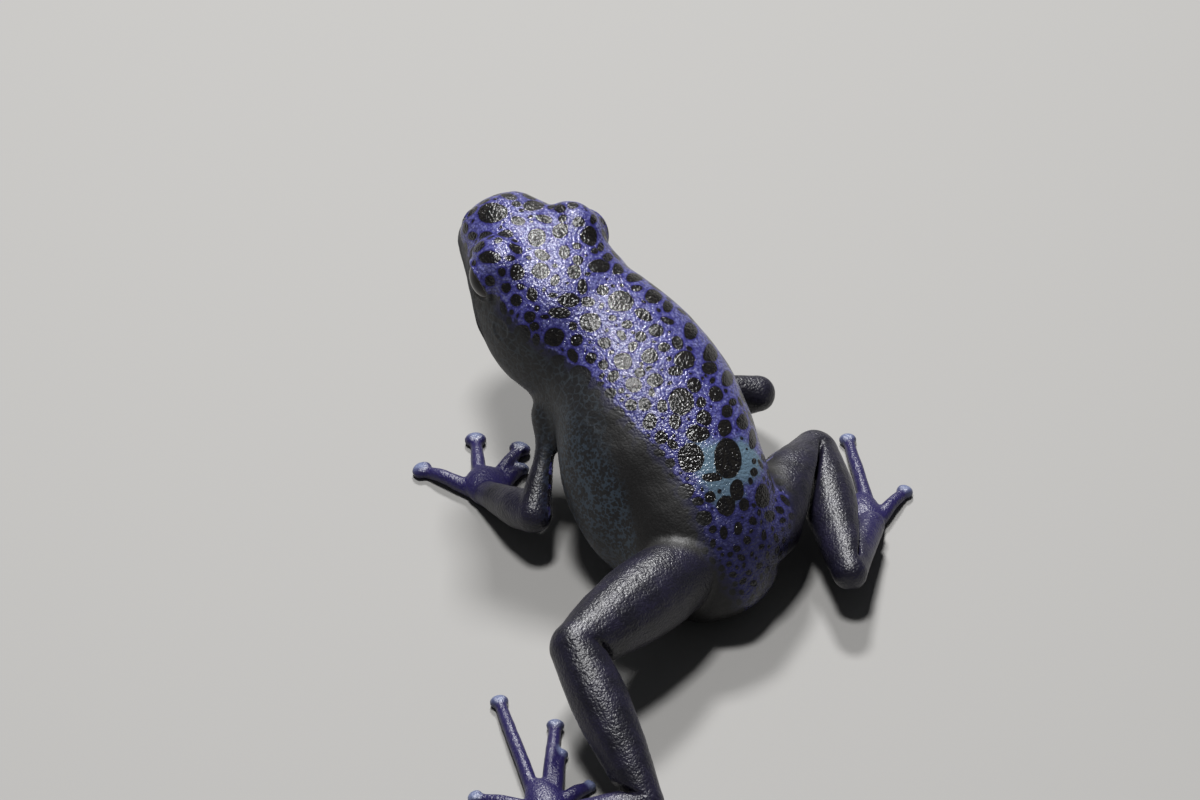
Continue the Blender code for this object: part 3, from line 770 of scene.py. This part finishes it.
def backEdge(tree, places, normals):
    # distance from the edge of the back's pattern, positive on the back, on both sides; on the left the edge
    # partly follows the line where the flank turns into shade
    line = [inHead((1.2, 11.6, 0.2))]
    line += [found for found in (placeSeen(tree, pixel)[0] for pixel in markings["leftEdge"])
             if found is not None]
    line.append(np.array((0.2, 19.7, 4.2)))
    left = aboveLine(places, normals, line)
    rows = smoothPath(torso["stations"], body["steps"])
    rows = rows[rows[:, 0] > -6]
    bend, _, _, above, _ = sectionSize(torso, rows, rows[:, 0])
    onHeadCrest = [inHead((0, forward, 4)) for forward in (12, 8, 4, 0)]
    crestY = [p[1] for p in onHeadCrest] + list(rows[:, 0])
    crestX = [p[0] for p in onHeadCrest] + list(bend - rollAt(torso, rows[:, 0])[0] * above)
    crest = np.interp(places[:, 1], crestY, crestX)
    turned = places.copy()
    turned[:, 0] = 2 * crest - places[:, 0]
    right = aboveLine(turned, normals * (-1, 1, 1), line)
    return np.minimum(left, right + markings["rightDrop"])


def seenSpots(tree):
    # each spot as its centre, its normal and its two half axes on the skin
    turn = np.array(photoCamera.matrix_world.to_3x3())
    right, up, back = turn[:, 0], turn[:, 1], turn[:, 2]
    spots = []
    for x, y, wide, high in markings["seen"]:
        centre, normal = placeSeen(tree, (x, y))
        if centre is None:
            print("no skin under", x, y)
            continue
        facing = max(normal @ back, 0.35)
        lie = [axis * size / 2 for axis, size in ((right, wide), (up, high))]
        lie = [half - back * (half @ normal) / facing for half in lie]
        spots.append((centre, normal, *lie))
    return spots


def scatterSpots(places, normals, spots, allowed, sizeLimit):
    # fills the skin between the seen spots with smaller and smaller ones
    rng = np.random.default_rng(markings["seed"])
    centres = [spot[0] for spot in spots]
    reaches = [max(np.linalg.norm(spot[2]), np.linalg.norm(spot[3])) for spot in spots]
    allowedIndex = np.nonzero(allowed)[0]
    for size in markings["sizes"]:
        for index in rng.choice(allowedIndex, markings["tries"]):
            radius = size * rng.uniform(0.85, 1.15)
            gap = rng.uniform(*markings["gaps"])
            if radius > sizeLimit[index]:
                continue
            centre, normal = places[index], normals[index]
            away = np.linalg.norm(np.array(centres) - centre, axis=1)
            if (away - np.array(reaches)).min() < radius + gap:
                continue
            stretch = rng.uniform(1.0, 1.3)
            first = unit(np.cross(normal, rng.normal(size=3)))
            second = np.cross(normal, first)
            spots.append((centre, normal, first * radius * stretch, second * radius / stretch))
            centres.append(centre)
            reaches.append(radius * stretch)
    return spots


def spotDistance(places, spots):
    # signed distance to the nearest spot's edge, negative inside, with a net between close spots
    finder = KDTree(len(places))
    for index, place in enumerate(places):
        finder.insert(place, index)
    finder.balance()
    first = np.full(len(places), 9.0)
    second = np.full(len(places), 9.0)
    for centre, normal, one, two in spots:
        radius = math.sqrt(np.linalg.norm(one) * np.linalg.norm(two))
        reach = max(np.linalg.norm(one), np.linalg.norm(two)) + 0.8
        near = np.array([found[1] for found in finder.find_range(centre, reach)], int)
        share = (places[near] - centre) @ np.linalg.inv(np.array((one, two, normal * radius)))
        level = (np.sqrt(share[:, 0] ** 2 + share[:, 1] ** 2 + 0.3 * share[:, 2] ** 2) - 1) * radius
        closer = level < first[near]
        second[near] = np.where(closer, first[near], np.minimum(second[near], level))
        first[near] = np.where(closer, level, first[near])
    return np.maximum(first, markings["gaps"][0] / 2 - (second - first) / 2)


def keepAttribute(obj, name, values):
    attribute = obj.data.attributes.new(name, "FLOAT", "POINT")
    attribute.data.foreach_set("value", np.asarray(values, np.float32))


def markSkin(obj):
    places, normals = readPlaces(obj), readNormals(obj)
    tree = treeOf(obj, places)
    torsoLevel, torsoRise = levelIn(torso, places[:, 1], places[:, 0], places[:, 2])
    local = inHeadFrame(places)
    headLevel, headRise = levelIn(head, local[:, 1], local[:, 0], local[:, 2])
    onHeadShare = smoothStep(-1.5, 1.5, torsoLevel - headLevel + local[:, 1] * 0.4)
    level = np.minimum(torsoLevel, headLevel)
    for side in (1, -1):
        browAway = np.linalg.norm(places - inHead(head["brow"], side), axis=1)
        level = np.where(browAway < 3.3, np.minimum(level, 1.0), level)
    limb = smoothStep(1.1, 1.4, level)
    shares = limbShares(places)
    edge = backEdge(tree, places, normals)
    along = places[:, 1]
    belly = smoothStep(0.0, -0.7, torsoRise) * (1 - onHeadShare)
    belly += smoothStep(-0.1, -0.6, headRise) * onHeadShare
    # below the back's edge: a black band that widens to the hips, rounded cells by the shoulder and
    # a fine stipple over the rest
    growth, bandStart, widest = markings["band"]
    bandWidth = np.clip(growth * (along - bandStart), 0, widest)
    band = smoothStep(*markings["bandEdge"], bandWidth + edge) * smoothStep(*markings["bandFade"], along)
    stippled = smoothStep(*markings["stippleEdge"], -edge) * smoothStep(*markings["stippleFade"], along)
    sizeLimit = markings["largest"]
    for begin, full, less in markings["shrinks"]:
        sizeLimit = sizeLimit - less * smoothStep(begin, full, along)
    sizeLimit -= markings["headShrinks"] * onHeadShare * smoothStep(2.0, -1.0, edge)
    allowed = (limb < 0.5) & (edge > -markings["spotDepth"])
    spots = scatterSpots(places, normals, seenSpots(tree), allowed, sizeLimit)
    print("spots on the skin:", len(spots))
    tipAway = np.min([np.linalg.norm(places - tip, axis=1) for tip in tips], axis=0)
    patch = [placeSeen(tree, pixel)[0] for pixel in markings["patch"]]
    patchAway = awayFromLine(places, [patch[1], patch[0], patch[2]])
    # the rump's darkening: partly a deeper tone of the net, partly painted shade
    rump = smoothStep(*markings["rump"], along)
    hand = np.clip(shares["pad"] + shares["digit"] + 0.75 * shares["tarsus"], 0, 1)
    for name, values in (("spotDistance", spotDistance(places, spots)), ("limb", limb), ("backEdge", edge),
                         ("band", band), ("stippled", stippled), ("belly", belly), ("hand", hand),
                         ("tipAway", tipAway), ("patchAway", patchAway), ("rump", rump)):
        keepAttribute(obj, name, values)


# Shader building

def addNode(tree, kind, inputs=None, **settings):
    # a node with its settings, whose inputs are values or the sockets that feed them
    node = tree.nodes.new(kind)
    for name, value in settings.items():
        setattr(node, name, value)
    for key, value in (inputs or {}).items():
        if isinstance(value, bpy.types.NodeSocket):
            tree.links.new(value, node.inputs[key])
        else:
            node.inputs[key].default_value = value
    return node


def calculate(tree, operation, first, second=0.0, clamp=False):
    node = addNode(tree, "ShaderNodeMath", {0: first, 1: second}, operation=operation, use_clamp=clamp)
    return node.outputs[0]


def ramp(tree, value, low, high, start=0.0, end=1.0):
    # turns low to high into start to end, with a soft beginning and end
    node = addNode(tree, "ShaderNodeMapRange", {0: value, 1: low, 2: high, 3: start, 4: end},
                   interpolation_type="SMOOTHSTEP")
    return node.outputs[0]


def blend(tree, share, first, second):
    node = addNode(tree, "ShaderNodeMix", {0: share, 6: first, 7: second}, data_type="RGBA")
    return node.outputs[2]


def noise(tree, place, scale, detail=2.0):
    node = addNode(tree, "ShaderNodeTexNoise", {"Vector": place, "Scale": scale, "Detail": detail})
    return node.outputs["Fac"]


def newGroup(name, numbers, outputs):
    # a node group with a Place input and named numbers with their usual values
    group = bpy.data.node_groups.new(name, "ShaderNodeTree")
    group.interface.new_socket("Place", in_out="INPUT", socket_type="NodeSocketVector")
    for label, value in numbers.items():
        socket = group.interface.new_socket(label, in_out="INPUT", socket_type="NodeSocketFloat")
        socket.default_value = value
    for label in outputs:
        group.interface.new_socket(label, in_out="OUTPUT", socket_type="NodeSocketFloat")
    return group, group.nodes.new("NodeGroupInput"), group.nodes.new("NodeGroupOutput")


def bent(tree, place, scale, reach):
    # the place pushed about by a noise, so that what is drawn there loses its regular look
    push = addNode(tree, "ShaderNodeTexNoise", {"Vector": place, "Scale": scale})
    centred = addNode(tree, "ShaderNodeVectorMath", {0: push.outputs["Color"], 1: (0.5, 0.5, 0.5)},
                      operation="SUBTRACT")
    scaled = addNode(tree, "ShaderNodeVectorMath", {0: centred.outputs[0], "Scale": reach}, operation="SCALE")
    return addNode(tree, "ShaderNodeVectorMath", {0: place, 1: scaled.outputs[0]}).outputs[0]


def voronoi(tree, place, size, feature="F1", spread=1.0):
    scale = calculate(tree, "DIVIDE", 1.0, size)
    return addNode(tree, "ShaderNodeTexVoronoi", {"Vector": place, "Scale": scale, "Randomness": spread},
                   feature=feature)


def makeGranules():
    # round skin granules of one size, each with a shade of its own
    group, given, result = newGroup("granules", {"Size": 0.2, "Spread": 0.8}, ("Height", "Shade"))
    cells = voronoi(group, given.outputs["Place"], given.outputs["Size"], spread=given.outputs["Spread"])
    away = calculate(group, "MULTIPLY", cells.outputs["Distance"], cells.outputs["Distance"])
    fall = calculate(group, "MULTIPLY", away, 1.6)
    height = calculate(group, "SUBTRACT", 1.0, fall, clamp=True)
    group.links.new(height, result.inputs["Height"])
    grey = addNode(group, "ShaderNodeSeparateColor", {0: cells.outputs["Color"]})
    group.links.new(grey.outputs[0], result.inputs["Shade"])
    return group


def makeWrinkles():
    # short, crooked ridges
    group, given, result = newGroup("wrinkles", {"Size": 0.3, "Bend": 0.3}, ("Height",))
    scale = calculate(group, "DIVIDE", 1.0, given.outputs["Size"])
    place = bent(group, given.outputs["Place"], 1.6, given.outputs["Bend"])
    swing = calculate(group, "SUBTRACT", noise(group, place, scale, 2.0), 0.5)
    fall = calculate(group, "MULTIPLY", calculate(group, "ABSOLUTE", swing), 3.0)
    group.links.new(calculate(group, "SUBTRACT", 1.0, fall), result.inputs["Height"])
    return group


def makeStipple():
    # small dark dots with uneven sizes
    group, given, result = newGroup("stipple", {"Size": 0.3, "Cover": 0.5}, ("Mask",))
    place = bent(group, given.outputs["Place"], 2.2, 0.25)
    cells = voronoi(group, place, given.outputs["Size"])
    grey = addNode(group, "ShaderNodeSeparateColor", {0: cells.outputs["Color"]})
    limit = calculate(group, "ADD", grey.outputs[0], 0.45)
    limit = calculate(group, "MULTIPLY", limit, given.outputs["Cover"])
    inside = calculate(group, "SUBTRACT", limit, cells.outputs["Distance"])
    group.links.new(ramp(group, inside, -0.06, 0.08), result.inputs["Mask"])
    return group


def makeNet():
    # thin crooked lines that part rounded cells
    group, given, result = newGroup("net", {"Size": 0.6, "Line": 0.07}, ("Mask",))
    place = bent(group, given.outputs["Place"], 1.3, 0.4)
    cells = voronoi(group, place, given.outputs["Size"], "DISTANCE_TO_EDGE")
    wide = calculate(group, "MULTIPLY", given.outputs["Line"], 2.2)
    line = ramp(group, cells.outputs["Distance"], wide, given.outputs["Line"])
    group.links.new(line, result.inputs["Mask"])
    return group


def useGroup(tree, group, place, **numbers):
    return addNode(tree, "ShaderNodeGroup", {"Place": place, **numbers}, node_tree=group)


def newMaterial(name):
    made = bpy.data.materials.new(name)
    made.use_nodes = True
    tree = made.node_tree
    objectPlace = addNode(tree, "ShaderNodeTexCoord").outputs["Object"]
    place = addNode(tree, "ShaderNodeVectorMath", {0: objectPlace, "Scale": 1000.0}, operation="SCALE")
    return made, tree, tree.nodes["Principled BSDF"], place.outputs[0]


# Skin material

skinLook = {
    "netDeep": (0.018, 0.016, 0.095, 1),
    "netViolet": (0.046, 0.046, 0.19, 1),
    "netPale": (0.115, 0.12, 0.275, 1),
    "patchCyan": (0.085, 0.135, 0.18, 1),
    "spotBlack": (0.004, 0.0035, 0.004, 1),
    "spotBrown": (0.008, 0.007, 0.006, 1),
    # painted shade: the darker net just below the back's edge, where the flank falls into shade
    "shadedNetViolet": (0.009, 0.0085, 0.028, 1),
    # partly painted shade: the rump's net is a deeper tone, darkened further for the shade the rump lies in
    "rumpDeepAndShade": (0.010, 0.010, 0.034, 1),
    "netTeal": (0.018, 0.024, 0.031, 1),
    "flankTeal": (0.026, 0.042, 0.062, 1),
    "flankDark": (0.004, 0.004, 0.005, 1),
    "bandBlack": (0.004, 0.0036, 0.0035, 1),
    "bellyBlue": (0.022, 0.028, 0.062, 1),
    "indigo": (0.0055, 0.005, 0.011, 1),
    "indigoLight": (0.010, 0.0085, 0.022, 1),
    "violet": (0.012, 0.0085, 0.058, 1),
    "tipPale": (0.11, 0.13, 0.22, 1),
    "granule": 0.25,        # width of a granule on the back, mm
    "fineGranule": 0.15,
    "wrinkle": 0.38,
    "grainHeight": 0.042,   # mm on the back
    "flankRelief": 0.3,     # as shares of that
    "limbRelief": 0.75,
    "spotWobble": 0.3,      # mm
    "edgeWobble": 1.1,      # mm, along the edge of the back's pattern
    "roughness": 0.15,      # on the back
    "limbRoughness": 0.34,
    "flankRoughness": 0.5,
}


def makeSkinMaterial():
    made, tree, shader, place = newMaterial("frogSkin")
    look = skinLook

    def add(first, second):
        return calculate(tree, "ADD", first, second)

    def times(first, second):
        return calculate(tree, "MULTIPLY", first, second)

    def step(value, *limits):
        return ramp(tree, value, *limits)

    def mark(name):
        return addNode(tree, "ShaderNodeAttribute", attribute_name=name).outputs["Fac"]

    def mix(share, *tones):
        # tones are names of colours in skinLook, or blends made before
        return blend(tree, share, *[look[tone] if isinstance(tone, str) else tone for tone in tones])

    def wobbled(value, *pushes):
        # a distance moved to and fro by noises, so that the edge drawn from it runs unevenly
        for push, reach in pushes:
            value = add(value, times(calculate(tree, "SUBTRACT", push, 0.5), reach))
        return value

    def ranged(share, low, high):
        return addNode(tree, "ShaderNodeMapRange", {0: share, 3: low, 4: high}).outputs[0]

    coarse = useGroup(tree, granules, place, Size=look["granule"])
    fine = useGroup(tree, granules, place, Size=look["fineGranule"], Spread=1.0)
    ridges = useGroup(tree, wrinkles, place, Size=look["wrinkle"]).outputs["Height"]
    cloud = noise(tree, place, 0.5, 2.0)
    wave = noise(tree, place, 1.0, 1.0)
    fleck = noise(tree, place, 2.6, 3.0)
    speck = noise(tree, bent(tree, place, 3.0, 0.2), 6.0, 2.0)
    wobble, sway = look["spotWobble"], look["edgeWobble"]
    spotEdge = wobbled(mark("spotDistance"), (wave, wobble), (fleck, wobble / 2))
    spot = step(spotEdge, 0.04, -0.04)
    # the blue net: deep violet beside the spots, palest midway between them, flecked all over, and deep
    # violet in the gaps between the coarse granules as painted shade in the grain's hollows
    net = mix(step(spotEdge, 0.02, 0.16), "netDeep", "netViolet")
    net = mix(times(step(spotEdge, 0.05, 0.32), step(fleck, 0.38, 0.62, 0.3, 1.0)), net, "netPale")
    net = mix(step(speck, 0.5, 0.68, 0.0, 0.85), net, "netDeep")
    # painted shade: the net is darker where the coarse granules sink into their gaps
    net = mix(step(coarse.outputs["Height"], 0.8, 0.35, 0.0, 0.75), net, "netDeep")
    patchEdge = wobbled(mark("patchAway"), (cloud, 2.2), (fleck, 1.2))
    net = mix(step(patchEdge, 2.3, 1.0), net, "patchCyan")
    # the net darkens towards the rump: partly its own deeper tone, partly painted shade
    net = mix(times(mark("rump"), 0.8), net, "rumpDeepAndShade")
    back = mix(spot, net, mix(step(coarse.outputs["Shade"], 0.2, 1.0), "spotBlack", "spotBrown"))
    # the flanks: dark cells, a teal stipple lower down, and a black band under the back's edge
    lines = useGroup(tree, thinNet, place, Size=0.62, Line=0.055).outputs["Mask"]
    cells = mix(times(lines, step(fleck, 0.3, 0.6)), "flankDark", "netTeal")
    under = mix(mark("belly"), "flankTeal", "bellyBlue")
    under = mix(step(cloud, 0.35, 0.65, 0.0, 0.35), under, "netTeal")
    dots = useGroup(tree, stipple, place, Size=0.27, Cover=0.6).outputs["Mask"]
    flank = mix(mark("stippled"), cells, mix(dots, under, "flankDark"))
    flank = mix(step(wobbled(mark("band"), (fleck, 0.7)), 0.1, 0.8), flank, "bandBlack")
    edge = wobbled(mark("backEdge"), (wave, sway), (fleck, sway / 2))
    # painted shade: just below the back's edge the net turns a darker violet, as it looks where the flank
    # falls into shade
    flank = mix(step(edge, -1.3, -0.2), flank, mix(spot, "shadedNetViolet", "flankDark"))
    # the back's colours above the edge and the flank's darker ones below it: partly pattern, partly painted
    # shade on the left, where the edge follows the flank's shade line
    trunk = mix(step(edge, -0.14, 0.14), flank, back)
    limbTone = mix(step(cloud, 0.35, 0.7), "indigo", "indigoLight")
    limbTone = mix(step(speck, 0.5, 0.75, 0.0, 0.6), limbTone, "flankDark")
    limbTone = mix(mark("hand"), limbTone, "violet")
    limbTone = mix(step(mark("tipAway"), 0.95, 0.4), limbTone, "tipPale")
    tree.links.new(mix(mark("limb"), trunk, limbTone), shader.inputs["Base Color"])
    onTrunk = calculate(tree, "SUBTRACT", 1.0, mark("limb"))
    onBack = times(onTrunk, step(edge, -1.0, 1.0))
    rough = ranged(onBack, ranged(onTrunk, look["limbRoughness"], look["flankRoughness"]), look["roughness"])
    tree.links.new(add(rough, times(fine.outputs["Shade"], 0.08)), shader.inputs["Roughness"])
    shader.inputs["Specular IOR Level"].default_value = 0.5
    grain = add(times(coarse.outputs["Height"], 0.7), times(fine.outputs["Height"], 0.4))
    grain = add(grain, times(ridges, 0.75))
    relief = ranged(onBack, ranged(onTrunk, look["limbRelief"], look["flankRelief"]), 1.0)
    bump = addNode(tree, "ShaderNodeBump", {"Strength": 1.0, "Distance": look["grainHeight"] * mm,
                                            "Height": times(grain, relief)})
    tree.links.new(bump.outputs[0], shader.inputs["Normal"])
    return made


# Eyes

eyes = {
    "iris": (0.016, 0.009, 0.004, 1),
    "pupil": (0.001, 0.001, 0.001, 1),
    "pupilHalf": (0.75, 0.55),      # half width and half height, mm
    "roughness": 0.04,
    "gloss": 0.22,
}


def makeEyeMaterial():
    made, tree, shader, place = newMaterial("frogEye")
    parts = addNode(tree, "ShaderNodeSeparateXYZ", {0: place})
    squares = []
    for axis, half in zip("YZ", eyes["pupilHalf"]):
        reach = calculate(tree, "DIVIDE", parts.outputs[axis], half)
        squares.append(calculate(tree, "MULTIPLY", reach, reach))
    away = calculate(tree, "ADD", *squares)
    threads = noise(tree, place, 3.0, 4.0)
    iris = blend(tree, ramp(tree, threads, 0.4, 0.7), eyes["iris"], eyes["pupil"])
    tree.links.new(blend(tree, ramp(tree, away, 0.9, 1.15), eyes["pupil"], iris), shader.inputs["Base Color"])
    shader.inputs["Roughness"].default_value = eyes["roughness"]
    shader.inputs["Specular IOR Level"].default_value = eyes["gloss"]
    return made


def makeEye(name, node, side, material):
    centre, radius = eyeBall(side)
    bm = bmesh.new()
    bmesh.ops.create_uvsphere(bm, u_segments=64, v_segments=40, radius=radius * mm)
    mesh = bpy.data.meshes.new(name)
    bm.to_mesh(mesh)
    bm.free()
    mesh.shade_smooth()
    mesh.materials.append(material)
    obj = newObject(name, mesh)
    obj.matrix_world = (Matrix.Translation(Vector(centre - (*planMiddle, 0)) * mm)
                        @ headFrame.to_3x3().to_4x4())
    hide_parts(node)
    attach(obj, "root")


# Studio

studio = {
    "viewTransform": "Standard",
    "floorTone": (0.245, 0.24, 0.232, 1),
    "floorRoughness": 0.7,
    "world": ((0.82, 0.85, 0.9, 1), 0.09),
    # name: side, beyond and up from the frog in metres, as the camera sees it; width, height, watts
    "lights": {
        "keyLight": ((-0.01, 0.35, 0.41), (0.09, 0.07), 3.0),
        "topLight": ((-0.05, 0.02, 0.54), (0.1, 0.09), 3.2),
    },
}


def makeStudio():
    bpy.ops.mesh.primitive_plane_add(size=4.0, location=(0, 0, 0))
    floor = bpy.context.object
    floor.name = "studioFloor"
    made = bpy.data.materials.new("paleFloor")
    made.use_nodes = True
    shader = made.node_tree.nodes["Principled BSDF"]
    shader.inputs["Base Color"].default_value = studio["floorTone"]
    shader.inputs["Roughness"].default_value = studio["floorRoughness"]
    floor.data.materials.append(made)
    bpy.context.scene.view_settings.view_transform = studio["viewTransform"]
    world = bpy.data.worlds.new("studioAir")
    bpy.context.scene.world = world
    world.use_nodes = True
    tone, strength = studio["world"]
    world.node_tree.nodes["Background"].inputs["Color"].default_value = tone
    world.node_tree.nodes["Background"].inputs["Strength"].default_value = strength
    a = math.radians(camera["azimuth"])
    # as the camera sees it: to the right, away from it, and up
    side = Vector((math.cos(a), math.sin(a), 0))
    beyond = Vector((-math.sin(a), math.cos(a), 0))
    up = Vector((0, 0, 1))
    for name, (place, size, power) in studio["lights"].items():
        data = bpy.data.lights.new(name, "AREA")
        data.shape = "RECTANGLE"
        data.size, data.size_y = size
        data.energy = power
        lamp = newObject(name, data)
        lamp.location = side * place[0] + beyond * place[1] + up * place[2]
        lamp.rotation_euler = lamp.location.to_track_quat("Z", "Y").to_euler()


makeForms()
print("forms made")
frogSkin = makeSkin()
print("skin made:", len(frogSkin.data.polygons), "faces")
shapeFace(frogSkin)
print("face shaped")
markSkin(frogSkin)
print("markings laid")
granules = makeGranules()
wrinkles = makeWrinkles()
stipple = makeStipple()
thinNet = makeNet()
frogSkin.data.transform(fromPlan)
frogSkin.data.shade_smooth()
frogSkin.data.materials.clear()
frogSkin.data.materials.append(makeSkinMaterial())
bpy.context.scene.collection.objects.link(frogSkin)
draft.objects.unlink(frogSkin)
bpy.data.collections.remove(draft)
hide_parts(*[name for name in frame["nodes"] if not name.startswith("eye_")])
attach(frogSkin, "root")
print("skin dressed")
eyeLook = makeEyeMaterial()
makeEye("eyeLeft", "eye_left", 1, eyeLook)
makeEye("eyeRight", "eye_right", -1, eyeLook)
print("eyes set")
makeStudio()
print("studio lit")
